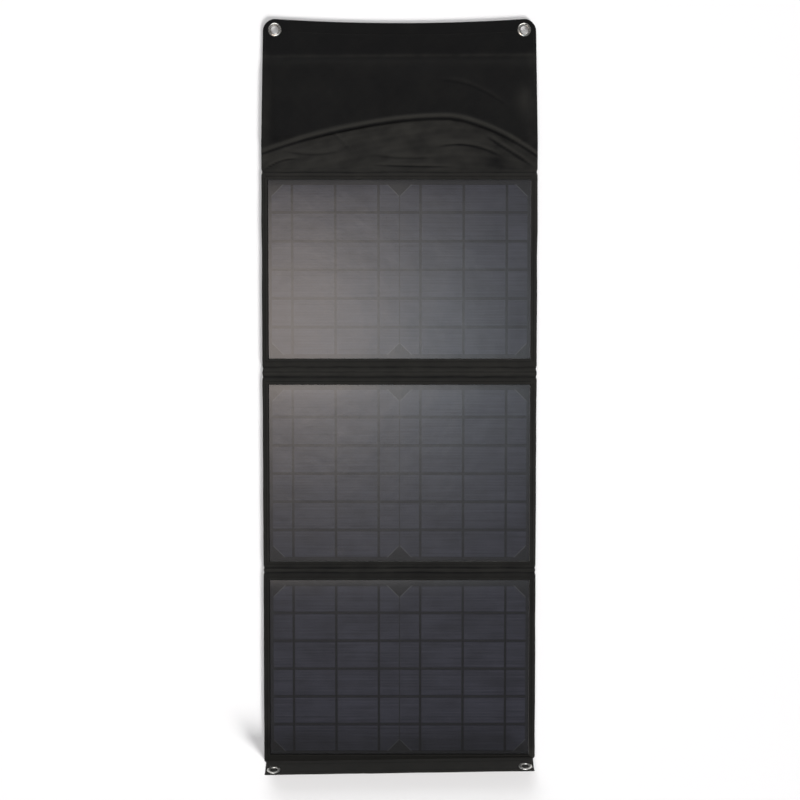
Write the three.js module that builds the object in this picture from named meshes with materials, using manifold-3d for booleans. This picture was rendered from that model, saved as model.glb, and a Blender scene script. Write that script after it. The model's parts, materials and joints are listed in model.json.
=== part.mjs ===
// Folding solar charger: three laminated panels in one strip of black fabric, with a zipped
// pocket at the upper end and an eyeleted hem at the lower end, opened out flat on the ground.
// Millimetres. X runs across the strip, Y along it towards the pocket, Z up from the ground.

import * as THREE from "three";
import { mergeVertices } from "three/addons/utils/BufferGeometryUtils.js";
import Module from "manifold-3d";

const wasm = await Module();
wasm.setup();

// The strip and its folds, from the pocket end down.
const stripWidth = 271;
const pocketTop = 369.1;
const pocketFold = { upper: 249.4, lower: 226.9 };
const foldOne = { upper: 32.3, lower: 21.2 };
const foldTwo = { upper: -169.6, lower: -176.1 };
const panelThreeEnd = -361.2;
const panelSetback = 1.15; // from a fold's axis to the panel's own edge
const hingeSetback = 0.15; // from a fold's axis to the hinge strip's edge

// Layers of one panel, each as its underside and its top.
const backPly = [0, 0.5];
const stiffenerLayer = [0.6, 1.7];
const boardLayer = [1.8, 2.4];
const cellLayer = [2.5, 2.68];
const ribbonLayer = [2.6, 2.76];
const filmLayer = [2.86, 3.1];
const framePly = [3.2, 3.6];
const sideRim = 2.5; // the sewn side hem, in from the edge
const endRim = 1.5;
const fitGap = 0.3;

// What shows through each panel's window.
const windowSize = { width: 259, height: 176.5 };
const cellStrip = { width: 125, height: 27.1, gap: 1, rows: 6 };
const cellChamfer = 11.4;
const ribbon = { width: 1.8, pitch: 42.4, perStrip: 3 };

// The flat twin lead that ties the panels to the charging hub.
const lead = { x: 30, width: 3, clear: 0.3 };
const panelLead = [0.65, 1.3];
const hingeLead = [1.45, 2.15];
const hingeFrontPly = [2.25, 2.8];
const hingeBackPly = [0.8, 1.35];

// The pocket: a shallow fabric shell over a flat back that a zip crosses.
const shellWall = 0.7;
const bandHeight = 2.4; // both plies and the binding, sewn flat
const flatHeight = 6.2; // the slack pocket, lying empty
const hubHeight = 9.8; // the fabric over the hub
const lipHeight = 2.3; // clear way under the pocket's lower lip, for the lead
const pocketSeam = 334;
const pocketHalf = { lower: 135.5, upper: 133.4 };
const cornerRadius = 12;
const topDip = 4.7;
const backWidth = 259.4;

// Zip across the back of the pocket; the coil faces inwards.
const zip = { y: 320, length: 224, sliderX: 104 };
const tapeLayer = [2.7, 3.1];
const coilSize = { width: 4.2, thick: 1.2, centre: 3.8 };
const sliderLength = 9;
const outerWing = { width: 7.6, layer: [1.6, 2.5] };
const innerWing = { width: 7, layer: [4.55, 5.1] };
const pullHinge = { x: 0, z: 1.15 };

// Charging hub: two USB sockets that face the zip.
const hub = { x: 30, width: 62, lower: 280, upper: 306, bottom: 0.9, top: 9, wall: 1.1 };
const socket = { width: 13.2, depth: 14, height: 5.4, wall: 0.35, spacing: 28 };

// Eyelets, as wide as the common size for tarpaulins.
const eyelet = { flangeRadius: 6.8, holeRadius: 3.75, barrelWall: 0.3 };
const topEyelet = { x: 121.6, y: 358.5 };

// The lower hem, curled up from the end of the third panel by its memory of being folded.
const hem = {
  axisY: -362.2, axisZ: 2.883, offset: 2.167, thick: 1.6, length: 25,
  halfWidth: 133.4, curl: 78, skew: 0.85, eyeletX: 124.5, eyeletIn: 7.6,
};

const inks = {
  fabric: { color: 0x1a1a19, roughness: 0.85, metalness: 0 },
  lining: { color: 0x121212, roughness: 0.9, metalness: 0 },
  stiffener: { color: 0x2c2c2e, roughness: 0.7, metalness: 0 },
  board: { color: 0x17191c, roughness: 0.6, metalness: 0 },
  cell: { color: 0x16171d, roughness: 0.35, metalness: 0.1 },
  film: { color: 0x4a4844, roughness: 0.3, metalness: 0 },
  lead: { color: 0x0f0f0f, roughness: 0.5, metalness: 0 },
  webbing: { color: 0x101010, roughness: 0.9, metalness: 0 },
  coil: { color: 0x141414, roughness: 0.4, metalness: 0 },
  slider: { color: 0x1b1b1c, roughness: 0.35, metalness: 0.8 },
  shell: { color: 0x141415, roughness: 0.5, metalness: 0 },
  circuit: { color: 0x0e3a24, roughness: 0.5, metalness: 0 },
  socket: { color: 0xb9bcc0, roughness: 0.3, metalness: 0.9 },
  eyelet: { color: 0xc9c9c6, roughness: 0.22, metalness: 0.95 },
};

// ---- Small tools -------------------------------------------------------------------------

// A named piece in its own material.
function piece(name, geometry, ink) {
  const mesh = new THREE.Mesh(geometry, new THREE.MeshStandardMaterial(inks[ink]));
  mesh.name = name;
  return mesh;
}

// A closed geometry as a solid that can be cut and joined.
function toSolid(geometry) {
  const bare = geometry.clone();
  bare.deleteAttribute("normal");
  bare.deleteAttribute("uv");
  const merged = mergeVertices(bare);
  return new wasm.Manifold(new wasm.Mesh({
    numProp: 3,
    vertProperties: new Float32Array(merged.attributes.position.array),
    triVerts: new Uint32Array(merged.index.array),
  }));
}

function toGeometry(solid) {
  const mesh = solid.getMesh();
  const geometry = new THREE.BufferGeometry();
  geometry.setAttribute("position", new THREE.BufferAttribute(mesh.vertProperties, 3));
  geometry.setIndex(new THREE.BufferAttribute(mesh.triVerts, 1));
  geometry.computeVertexNormals();
  return geometry;
}

// A box given by its two ends along X, Y and Z.
function block([x0, x1], [y0, y1], [z0, z1]) {
  const geometry = new THREE.BoxGeometry(x1 - x0, y1 - y0, z1 - z0);
  return geometry.translate((x0 + x1) / 2, (y0 + y1) / 2, (z0 + z1) / 2);
}

// The two ends of a stretch of the given width about a middle.
function about(middle, width) {
  return [middle - width / 2, middle + width / 2];
}

// A flat outline raised from the lower to the upper height.
function plate(shape, [low, high]) {
  const settings = { depth: high - low, bevelEnabled: false, curveSegments: 10 };
  return new THREE.ExtrudeGeometry(shape, settings).translate(0, 0, low);
}

// A profile drawn in Y and Z, run along X across the given width.
function runAcross(points, width, middle = 0) {
  const shape = new THREE.Shape(points.map(([y, z]) => new THREE.Vector2(y, z)));
  const bar = new THREE.ExtrudeGeometry(shape, { depth: width, bevelEnabled: false });
  // The profile's own X, Y and depth become Y, Z and X.
  const turn = new THREE.Matrix4().set(0, 0, 1, middle - width / 2, 1, 0, 0, 0, 0, 1, 0, 0, 0, 0, 0, 1);
  return bar.applyMatrix4(turn);
}

// An upright round bar.
function rod(radius, [low, high], x, y, sides = 28) {
  const bar = new THREE.CylinderGeometry(radius, radius, high - low, sides);
  return bar.rotateX(Math.PI / 2).translate(x, y, (low + high) / 2);
}

// A ramp from 0 to 1 with soft ends, as value goes from start to finish.
function ramp(start, finish, value) {
  const share = Math.min(Math.max((value - start) / (finish - start), 0), 1);
  return share * share * (3 - 2 * share);
}

// ---- Panels ------------------------------------------------------------------------------

// Back cover: the rear fabric with its edges turned up round the boards.
function makeBackCover(top, bottom, leadEnds) {
  const halfWidth = stripWidth / 2;
  let cover = toSolid(block([-halfWidth, halfWidth], [bottom, top], [backPly[0], filmLayer[1]]));
  const hollow = block(
    [-halfWidth + sideRim, halfWidth - sideRim],
    [bottom + endRim, top - endRim],
    [backPly[1], filmLayer[1] + 1],
  );
  cover = cover.subtract(toSolid(hollow));
  for (const end of leadEnds) {
    const way = block(
      about(lead.x, lead.width + 2 * lead.clear),
      about(end, 4 * endRim),
      [backPly[1], panelLead[1] + lead.clear],
    );
    cover = cover.subtract(toSolid(way));
  }
  return toGeometry(cover);
}

// A board that fills the cover's tray between two heights.
function makeBoard(top, bottom, layer) {
  const halfWidth = stripWidth / 2 - sideRim - fitGap;
  const inset = endRim + fitGap;
  return block([-halfWidth, halfWidth], [bottom + inset, top - inset], layer);
}

// Stiffener: a plastic board with a groove for the lead in its underside.
function makeStiffener(top, bottom, leadSpan) {
  const groove = block(
    about(lead.x, lead.width + 2 * lead.clear),
    [leadSpan[0] - 1, leadSpan[1] + 1],
    [0, panelLead[1] + 0.1],
  );
  return toGeometry(toSolid(makeBoard(top, bottom, stiffenerLayer)).subtract(toSolid(groove)));
}

// One strip of cell; the first and last of a column keep the wafer's clipped corners.
function makeCellStrip(middle, lower, clipTop, clipBottom) {
  const [left, right] = about(middle, cellStrip.width);
  const upper = lower + cellStrip.height;
  const topClip = clipTop ? cellChamfer : 0;
  const bottomClip = clipBottom ? cellChamfer : 0;
  const outline = [
    [left, lower + bottomClip],
    [left + bottomClip, lower],
    [right - bottomClip, lower],
    [right, lower + bottomClip],
    [right, upper - topClip],
    [right - topClip, upper],
    [left + topClip, upper],
    [left, upper - topClip],
  ];
  const corners = outline.filter(([x, y], index) => {
    const [nextX, nextY] = outline[(index + 1) % outline.length];
    return x !== nextX || y !== nextY;
  });
  return plate(new THREE.Shape(corners.map(([x, y]) => new THREE.Vector2(x, y))), cellLayer);
}

// One column of cell strips, tied into a string by three flat ribbons.
function makeCellString(side, centreY) {
  const middle = (side * (cellStrip.width + cellStrip.gap)) / 2;
  const pitch = cellStrip.height + cellStrip.gap;
  const height = cellStrip.rows * pitch - cellStrip.gap;
  const lowest = centreY - height / 2;
  let string = null;
  for (let row = 0; row < cellStrip.rows; row += 1) {
    const strip = makeCellStrip(middle, lowest + row * pitch, row === cellStrip.rows - 1, row === 0);
    string = string ? string.add(toSolid(strip)) : toSolid(strip);
  }
  for (let line = 0; line < ribbon.perStrip; line += 1) {
    const x = middle + (line - (ribbon.perStrip - 1) / 2) * ribbon.pitch;
    const band = block(about(x, ribbon.width), [lowest + 1, lowest + height - 1], ribbonLayer);
    string = string.add(toSolid(band));
  }
  return toGeometry(string);
}

// Window frame: the front fabric, with the window cut in it.
function makeWindowFrame(top, bottom, windowY) {
  const halfWidth = stripWidth / 2;
  const outline = new THREE.Shape([
    new THREE.Vector2(-halfWidth, bottom),
    new THREE.Vector2(halfWidth, bottom),
    new THREE.Vector2(halfWidth, top),
    new THREE.Vector2(-halfWidth, top),
  ]);
  const [left, right] = about(0, windowSize.width);
  const [low, high] = about(windowY, windowSize.height);
  outline.holes.push(new THREE.Path([
    new THREE.Vector2(left, low),
    new THREE.Vector2(left, high),
    new THREE.Vector2(right, high),
    new THREE.Vector2(right, low),
  ]));
  return plate(outline, framePly);
}

function makePanel({ number, top, bottom, windowY, cellsY, leadSpan, leadEnds }) {
  const prefix = `panel_${number}`;
  const panel = new THREE.Group();
  panel.add(piece(`${prefix}_back_cover`, makeBackCover(top, bottom, leadEnds), "fabric"));
  panel.add(piece(`${prefix}_stiffener`, makeStiffener(top, bottom, leadSpan), "stiffener"));
  panel.add(piece(`${prefix}_laminate_board`, makeBoard(top, bottom, boardLayer), "board"));
  panel.add(piece(`${prefix}_cells_left`, makeCellString(-1, cellsY), "cell"));
  panel.add(piece(`${prefix}_cells_right`, makeCellString(1, cellsY), "cell"));
  panel.add(piece(`${prefix}_top_film`, makeBoard(top, bottom, filmLayer), "film"));
  panel.add(piece(`${prefix}_window_frame`, makeWindowFrame(top, bottom, windowY), "fabric"));
  panel.add(piece(`${prefix}_lead`, block(about(lead.x, lead.width), leadSpan, panelLead), "lead"));
  return panel;
}

// ---- Hinge strips between the panels -------------------------------------------------------

// Two plies of fabric with the lead between them.
function makeHinge(name, fold) {
  const span = [fold.lower + hingeSetback, fold.upper - hingeSetback];
  const across = about(0, stripWidth - 1);
  const hinge = new THREE.Group();
  hinge.add(piece(`${name}_front_ply`, block(across, span, hingeFrontPly), "fabric"));
  hinge.add(piece(`${name}_back_ply`, block(across, span, hingeBackPly), "fabric"));
  hinge.add(piece(`${name}_lead`, block(about(lead.x, lead.width), span, hingeLead), "lead"));
  return hinge;
}

// ---- Pocket --------------------------------------------------------------------------------

const pocketBottom = pocketFold.upper + panelSetback;

// Height of the pocket's front fabric over the ground.
function pocketHeight(x, y) {
  const fromSide = pocketHalf.lower - Math.abs(x);
  const side = ramp(3, 9, fromSide);
  const upper = ramp(pocketSeam + 1, pocketSeam - 8, y);
  const lower = 0.4 + 0.6 * ramp(pocketBottom, pocketBottom + 18, y);
  const besideHub = Math.max(Math.abs(x - hub.x) - hub.width / 2, 0);
  const beyondHub = Math.max(y - hub.upper, hub.lower - y, 0);
  const overHub = ramp(19, 7, Math.hypot(besideHub, beyondHub));
  const slack = (flatHeight - bandHeight) * side * upper * lower;
  return bandHeight + slack + (hubHeight - flatHeight) * overHub;
}

// A block over the pocket's rectangle whose top follows the fabric, lowered by a wall.
function pocketBulk(lowering, halfWidth, [low, high], floor) {
  const bulk = new THREE.BoxGeometry(2 * halfWidth, high - low, 1, 28, 18, 1);
  bulk.translate(0, (low + high) / 2, 0);
  const spots = bulk.attributes.position;
  for (let index = 0; index < spots.count; index += 1) {
    const isTop = spots.getZ(index) > 0;
    const top = pocketHeight(spots.getX(index), spots.getY(index)) - lowering;
    spots.setZ(index, isTop ? top : floor);
  }
  return toSolid(bulk);
}

// The pocket's plan: slightly narrower at the top, round corners and a top edge that sags.
function pocketOutline() {
  const { lower, upper } = pocketHalf;
  const inner = upper - cornerRadius;
  const shoulder = pocketTop - cornerRadius;
  const outline = new THREE.Shape();
  outline.moveTo(-lower, pocketBottom);
  outline.lineTo(lower, pocketBottom);
  outline.lineTo(upper, shoulder);
  outline.absarc(inner, shoulder, cornerRadius, 0, Math.PI / 2, false);
  outline.quadraticCurveTo(0, pocketTop - 2 * topDip, -inner, pocketTop);
  outline.absarc(-inner, shoulder, cornerRadius, Math.PI / 2, Math.PI, false);
  return outline;
}

// Pocket front: the slack front fabric, its side hems and the flat band that holds the eyelets.
function makePocketFront() {
  const outer = pocketBulk(0, pocketHalf.lower + 2, [pocketBottom - 1, pocketTop + 1], 0);
  let front = outer.intersect(toSolid(plate(pocketOutline(), [-1, hubHeight + 1])));
  const hollowHalf = backWidth / 2 + fitGap;
  const hollow = pocketBulk(shellWall, hollowHalf, [pocketBottom + 3, pocketSeam], -1);
  front = front.subtract(hollow);
  const underLip = block([-hollowHalf, hollowHalf], [pocketBottom - 1, pocketBottom + 4], [-1, lipHeight]);
  front = front.subtract(toSolid(underLip));
  for (const side of [-1, 1]) {
    const bore = rod(eyelet.holeRadius + 2 * fitGap, [-1, 4], side * topEyelet.x, topEyelet.y);
    const recess = rod(eyelet.flangeRadius + 0.1, [-1, 0.6], side * topEyelet.x, topEyelet.y);
    front = front.subtract(toSolid(bore)).subtract(toSolid(recess));
  }
  return toGeometry(front);
}

// The back below the zip: flat, then up to the tape so that the slider clears the ground.
function makePocketBackLower() {
  const edge = zip.y - 4.7;
  return runAcross([
    [pocketBottom, 0],
    [edge - 8.3, 0],
    [edge - 2.8, 2],
    [edge, 2],
    [edge, 2.6],
    [edge - 3, 2.6],
    [edge - 8.5, 0.6],
    [pocketBottom, 0.6],
  ], backWidth);
}

// The back above the zip, down to the seam that closes the pocket.
function makePocketBackUpper() {
  const edge = zip.y + 4.7;
  const seam = pocketSeam - fitGap;
  return runAcross([
    [edge, 2],
    [edge + 2.4, 2],
    [edge + 6.6, 0],
    [seam, 0],
    [seam, 0.6],
    [edge + 6.8, 0.6],
    [edge + 2.6, 2.6],
    [edge, 2.6],
  ], backWidth);
}

function makeZipTape(side) {
  const inner = zip.y + side * 0.3;
  const outer = zip.y + side * 7;
  const span = [Math.min(inner, outer), Math.max(inner, outer)];
  return block(about(0, zip.length + 20), span, tapeLayer);
}

// Zip coil: both halves meshed, as one flattened round bar.
function makeZipCoil() {
  const sides = 12;
  const ring = [];
  for (let corner = 0; corner < sides; corner += 1) {
    const angle = (2 * Math.PI * corner) / sides;
    ring.push([
      zip.y + (coilSize.width / 2) * Math.cos(angle),
      coilSize.centre + (coilSize.thick / 2) * Math.sin(angle),
    ]);
  }
  return runAcross(ring, zip.length);
}

// Outer wing of the slider, with the arched bail that the pull hangs on.
function makeSliderOuter() {
  const wingBottom = outerWing.layer[0];
  const wing = block(about(zip.sliderX, sliderLength), about(zip.y, outerWing.width), outerWing.layer);
  const bailBlock = block(about(zip.sliderX, 6.4), about(zip.y, 1.2), [0.15, wingBottom + 0.2]);
  const bailGap = block(about(zip.sliderX, 4.4), about(zip.y, 2), [0.7, wingBottom]);
  const bail = toSolid(bailBlock).subtract(toSolid(bailGap));
  return toGeometry(toSolid(wing).add(bail));
}

function makeSliderInner() {
  return block(about(zip.sliderX, sliderLength), about(zip.y, innerWing.width), innerWing.layer);
}

// Pull: a flat tab whose end bar lies in the bail, lying along the zip.
function makeZipPull() {
  const barX = zip.sliderX + pullHinge.x;
  const thick = about(pullHinge.z, 0.5);
  const tab = block([barX - 22, barX - 4.2], about(zip.y, 6), thick);
  const loop = block([barX - 5, barX + 0.25], about(zip.y, 5), thick);
  const loopGap = block([barX - 3.9, barX - 0.25], about(zip.y, 3), [0, 3]);
  return toGeometry(toSolid(tab).add(toSolid(loop).subtract(toSolid(loopGap))));
}

// ---- Charging hub --------------------------------------------------------------------------

// The hub's inside with its socket mouths and lead entry, to be cut from both shells.
function hubHollow() {
  const inside = block(
    about(hub.x, hub.width - 2 * hub.wall),
    [hub.lower + hub.wall, hub.upper - hub.wall],
    [hub.bottom + hub.wall, hub.top - hub.wall],
  );
  let hollow = toSolid(inside);
  for (const side of [-1, 1]) {
    const mouth = block(
      about(hub.x + (side * socket.spacing) / 2, socket.width + 2 * fitGap),
      [hub.upper - 2 * hub.wall, hub.upper + 1],
      about((hub.bottom + hub.top) / 2, socket.height + 2 * fitGap),
    );
    hollow = hollow.add(toSolid(mouth));
  }
  const entry = block(
    about(lead.x, lead.width + 2 * lead.clear),
    [hub.lower - 1, hub.lower + 2 * hub.wall],
    [hingeLead[0] - lead.clear, hingeLead[1] + 2 * lead.clear],
  );
  return hollow.add(toSolid(entry));
}

function makeHubShell([low, high]) {
  const body = block(about(hub.x, hub.width), [hub.lower, hub.upper], [low, high]);
  return toGeometry(toSolid(body).subtract(hubHollow()));
}

// Circuit board: behind the sockets, with a finger between and beside them.
function makeHubBoard() {
  const gap = 0.3;
  const inner = hub.wall + gap;
  const board = block(
    about(hub.x, hub.width - 2 * inner),
    [hub.lower + inner, hub.upper - inner],
    [3.2, 4.2],
  );
  let cut = toSolid(board);
  for (const side of [-1, 1]) {
    const notch = block(
      about(hub.x + (side * socket.spacing) / 2, socket.width + 2 * gap),
      [hub.upper - socket.depth - gap, hub.upper + 1],
      [2, 6],
    );
    cut = cut.subtract(toSolid(notch));
  }
  return toGeometry(cut);
}

// Socket: a steel sleeve, closed behind, round the contact tongue.
function makeSocket(side) {
  const middle = hub.x + (side * socket.spacing) / 2;
  const level = (hub.bottom + hub.top) / 2;
  const span = [hub.upper - socket.depth, hub.upper - 0.2];
  const sleeve = block(about(middle, socket.width), span, about(level, socket.height));
  const inside = block(
    about(middle, socket.width - 2 * socket.wall),
    [span[0] + 1, span[1] + 1],
    about(level, socket.height - 2 * socket.wall),
  );
  const tongue = block(about(middle, 10.4), [span[0] + 0.5, span[1] - 1.5], about(level + 0.6, 1.6));
  return toGeometry(toSolid(sleeve).subtract(toSolid(inside)).add(toSolid(tongue)));
}

// ---- Eyelets and hem -----------------------------------------------------------------------

// A turned ring from a profile of radius and height.
function turned(points) {
  const profile = points.map(([radius, height]) => new THREE.Vector2(radius, height));
  profile.push(profile[0].clone());
  return new THREE.LatheGeometry(profile, 28).rotateX(Math.PI / 2);
}

// Eyelet: a rolled flange on the front with a barrel down through the fabric.
function makeEyelet(barrelFoot, seat, rise) {
  const { flangeRadius, holeRadius, barrelWall } = eyelet;
  const barrel = holeRadius + barrelWall;
  return turned([
    [holeRadius, barrelFoot],
    [barrel, barrelFoot],
    [barrel, seat],
    [flangeRadius, seat],
    [flangeRadius - 0.6, seat + 0.8 * rise],
    [flangeRadius - 1.6, seat + rise],
    [holeRadius + 0.7, seat + 0.8 * rise],
    [holeRadius, seat + 0.3 * rise],
  ]);
}

// Washer: the flat ring that the barrel is set against behind the fabric.
function makeWasher([low, high]) {
  const inner = eyelet.holeRadius + eyelet.barrelWall + fitGap;
  const outer = eyelet.flangeRadius - 0.2;
  return turned([[inner, low], [outer - 0.2, low], [outer, high], [inner, high]]);
}

function makeHemPlate() {
  const { halfWidth, length, thick, offset, eyeletX, eyeletIn } = hem;
  const plateBox = block([-halfWidth, halfWidth], [-length, 0], about(-offset, thick));
  let strip = toSolid(plateBox);
  for (const side of [-1, 1]) {
    const bore = rod(eyelet.holeRadius + 2 * fitGap, [-6, 4], side * eyeletX, eyeletIn - length);
    strip = strip.subtract(toSolid(bore));
  }
  return toGeometry(strip);
}

// The hem with its eyelets, drawn flat below its axis and then curled up about it.
function makeHem() {
  const strip = new THREE.Group();
  strip.add(piece("bottom_hem", makeHemPlate(), "fabric"));
  const face = -hem.offset + hem.thick / 2 + 0.05;
  const rear = -hem.offset - hem.thick / 2 - 0.05;
  for (const [side, word] of [[-1, "left"], [1, "right"]]) {
    const ring = piece(`eyelet_bottom_${word}`, makeEyelet(rear - 0.35, face, 0.35), "eyelet");
    const washer = piece(`eyelet_washer_bottom_${word}`, makeWasher([rear - 0.35, rear]), "eyelet");
    for (const part of [ring, washer]) {
      part.position.set(side * hem.eyeletX, hem.eyeletIn - hem.length, 0);
      strip.add(part);
    }
  }
  strip.rotation.x = THREE.MathUtils.degToRad(-hem.curl);
  const crease = new THREE.Group();
  crease.add(strip);
  crease.rotation.z = THREE.MathUtils.degToRad(hem.skew);
  crease.position.set(0, hem.axisY, hem.axisZ);
  return crease;
}

function makeTopEyelets() {
  const pair = new THREE.Group();
  for (const [side, word] of [[-1, "left"], [1, "right"]]) {
    const ring = piece(`eyelet_top_${word}`, makeEyelet(0, bandHeight + 0.05, 0.6), "eyelet");
    const washer = piece(`eyelet_washer_top_${word}`, makeWasher([0, 0.5]), "eyelet");
    for (const part of [ring, washer]) {
      part.position.set(side * topEyelet.x, topEyelet.y, 0);
      pair.add(part);
    }
  }
  return pair;
}

// ---- The whole charger ---------------------------------------------------------------------

function makePocket() {
  const pocket = new THREE.Group();
  pocket.add(piece("pocket_front", makePocketFront(), "fabric"));
  pocket.add(piece("pocket_back_lower", makePocketBackLower(), "fabric"));
  pocket.add(piece("pocket_back_upper", makePocketBackUpper(), "fabric"));
  const leadRun = [pocketBottom, hub.lower + hub.wall + 0.8];
  pocket.add(piece("pocket_lead", block(about(lead.x, lead.width), leadRun, hingeLead), "lead"));
  pocket.add(piece("zip_tape_lower", makeZipTape(-1), "webbing"));
  pocket.add(piece("zip_tape_upper", makeZipTape(1), "webbing"));
  pocket.add(piece("zip_coil", makeZipCoil(), "coil"));
  pocket.add(piece("zip_slider_outer", makeSliderOuter(), "slider"));
  pocket.add(piece("zip_slider_inner", makeSliderInner(), "slider"));
  pocket.add(piece("zip_pull", makeZipPull(), "slider"));
  const split = (hub.bottom + hub.top) / 2;
  pocket.add(piece("hub_shell_lower", makeHubShell([hub.bottom, split - 0.05]), "shell"));
  pocket.add(piece("hub_shell_upper", makeHubShell([split + 0.05, hub.top]), "shell"));
  pocket.add(piece("hub_board", makeHubBoard(), "circuit"));
  pocket.add(piece("usb_socket_left", makeSocket(-1), "socket"));
  pocket.add(piece("usb_socket_right", makeSocket(1), "socket"));
  return pocket;
}

const panelOne = { top: pocketFold.lower - panelSetback, bottom: foldOne.upper + panelSetback };
const panelTwo = { top: foldOne.lower - panelSetback, bottom: foldTwo.upper + panelSetback };
const panelThree = { top: foldTwo.lower - panelSetback, bottom: panelThreeEnd };

const charger = new THREE.Group();
charger.add(makePanel({
  number: 1,
  ...panelOne,
  windowY: 125.75,
  cellsY: 125.3,
  leadSpan: [panelOne.bottom, panelOne.top],
  leadEnds: [panelOne.bottom, panelOne.top],
}));
charger.add(makePanel({
  number: 2,
  ...panelTwo,
  windowY: -75.35,
  cellsY: -75.9,
  leadSpan: [panelTwo.bottom, panelTwo.top],
  leadEnds: [panelTwo.bottom, panelTwo.top],
}));
charger.add(makePanel({
  number: 3,
  ...panelThree,
  windowY: -269.95,
  cellsY: -271.4,
  leadSpan: [panelThree.top - 40, panelThree.top],
  leadEnds: [panelThree.top],
}));
charger.add(makeHinge("hinge_pocket", pocketFold));
charger.add(makeHinge("hinge_12", foldOne));
charger.add(makeHinge("hinge_23", foldTwo));
charger.add(makePocket());
charger.add(makeTopEyelets());
charger.add(makeHem());

export default charger;
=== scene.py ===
"""Looks of the folding solar charger: fabric, stitching, cells, film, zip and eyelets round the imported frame.

Lengths in this file are millimetres unless a name ends in _M; meshes are written in metres.
"""

import json
import math

import bpy
import numpy as np
from mathutils import Matrix, Vector


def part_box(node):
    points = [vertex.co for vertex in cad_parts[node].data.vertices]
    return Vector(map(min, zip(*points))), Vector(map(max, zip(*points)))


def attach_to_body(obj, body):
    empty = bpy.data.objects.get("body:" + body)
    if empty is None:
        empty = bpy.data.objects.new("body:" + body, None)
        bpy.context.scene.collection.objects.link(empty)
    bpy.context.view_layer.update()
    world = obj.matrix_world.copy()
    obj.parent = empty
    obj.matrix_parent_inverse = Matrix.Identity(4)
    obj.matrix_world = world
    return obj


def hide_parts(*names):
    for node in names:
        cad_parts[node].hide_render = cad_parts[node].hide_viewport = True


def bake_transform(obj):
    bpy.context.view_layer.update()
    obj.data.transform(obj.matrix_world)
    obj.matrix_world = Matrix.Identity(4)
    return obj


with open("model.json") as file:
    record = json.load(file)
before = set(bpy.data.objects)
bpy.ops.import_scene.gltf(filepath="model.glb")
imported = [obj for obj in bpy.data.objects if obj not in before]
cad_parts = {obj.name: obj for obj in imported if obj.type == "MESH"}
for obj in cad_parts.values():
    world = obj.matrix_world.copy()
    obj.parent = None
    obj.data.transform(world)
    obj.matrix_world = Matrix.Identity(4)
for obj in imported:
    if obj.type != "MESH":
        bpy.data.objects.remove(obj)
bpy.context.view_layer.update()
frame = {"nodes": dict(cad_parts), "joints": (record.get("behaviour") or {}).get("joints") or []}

MM = 0.001

# ---- Places taken from the frame ----


def box_mm(node):
    """A node's lowest and highest corners at rest."""
    return tuple(np.array(corner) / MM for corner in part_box(node))


JOINTS = {joint["name"]: joint for joint in frame["joints"]}
CREASE = {name: joint["pos_m"][1] / MM for name, joint in JOINTS.items() if joint["type"] == "hinge"}
HEM_AXIS = JOINTS["hem_curl"]
HEM_CURL = math.pi - math.radians(HEM_AXIS["range_deg"][1])
HEM_SKEW = math.atan2(-HEM_AXIS["axis"][1], -HEM_AXIS["axis"][0])
HEM_OFFSET, HEM_LENGTH, HEM_HALF_THICK = 2.167, 25.0, 0.85

STRIP_HALF = box_mm("panel_1_back_cover")[1][0]
INSET = 0.1  # the fabric's edges stay this far inside the frame's
HEM_START_Y = box_mm("panel_3_back_cover")[0][1] + 1.5
POCKET_START, POCKET_TOP = (corner[1] for corner in box_mm("pocket_front"))
FILM_TOP = box_mm("panel_1_top_film")[1][2]

WINDOW_HALF = 129.5
WINDOW_HEIGHT = 176.5
WINDOW_ABOVE_CELLS = {1: 0.45, 2: 0.55, 3: 1.45}  # the window's middle over the cells' middle


def window_span(number):
    low, high = box_mm(f"panel_{number}_cells_left")
    middle = (low[1] + high[1]) / 2 + WINDOW_ABOVE_CELLS[number]
    return middle - WINDOW_HEIGHT / 2, middle + WINDOW_HEIGHT / 2


WINDOWS = {number: window_span(number) for number in (1, 2, 3)}

# ---- Small numeric tools ----


def ramp(start, finish, value):
    """Soft step from 0 at start to 1 at finish."""
    share = np.clip((value - start) / (finish - start), 0, 1)
    return share * share * (3 - 2 * share)


def bump(value, width):
    """A round hump, 1 in the middle."""
    return np.exp(-((value / width) ** 2))


def toward(value, target, share):
    """Value moved by a share of the way to target."""
    return value + (target - value) * share


def outside(value, low, high):
    """How far value lies outside a span."""
    return np.maximum(np.maximum(value - high, low - value), 0)


def round_rim(from_rim, width):
    """Share of the full thickness near a rounded rim."""
    return np.sqrt(1 - (1 - np.clip(from_rim / width, 0, 1)) ** 2)


def soft_profile(points, value):
    """Height along the strip through given points, with level tangents at each."""
    place, height = np.transpose(sorted(points))
    index = np.clip(np.searchsorted(place, value) - 1, 0, len(place) - 2)
    return toward(height[index], height[index + 1], ramp(place[index], place[index + 1], value))


def waves(x, y, seed, scale):
    """Smooth repeatable unevenness from -1 to 1, about scale millimetres across."""
    rng = np.random.default_rng(seed)
    total = np.zeros(np.broadcast(x, y).shape)
    for _ in range(7):
        angle = rng.uniform(0, 2 * math.pi)
        size = scale * rng.uniform(0.6, 1.7)
        phase = rng.uniform(0, 2 * math.pi)
        total += np.sin(2 * math.pi * (x * math.cos(angle) + y * math.sin(angle)) / size + phase)
    return total / 7 * 1.6


# ---- Shape of the strip's front fabric ----

PANEL_FACE = 3.75
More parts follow.
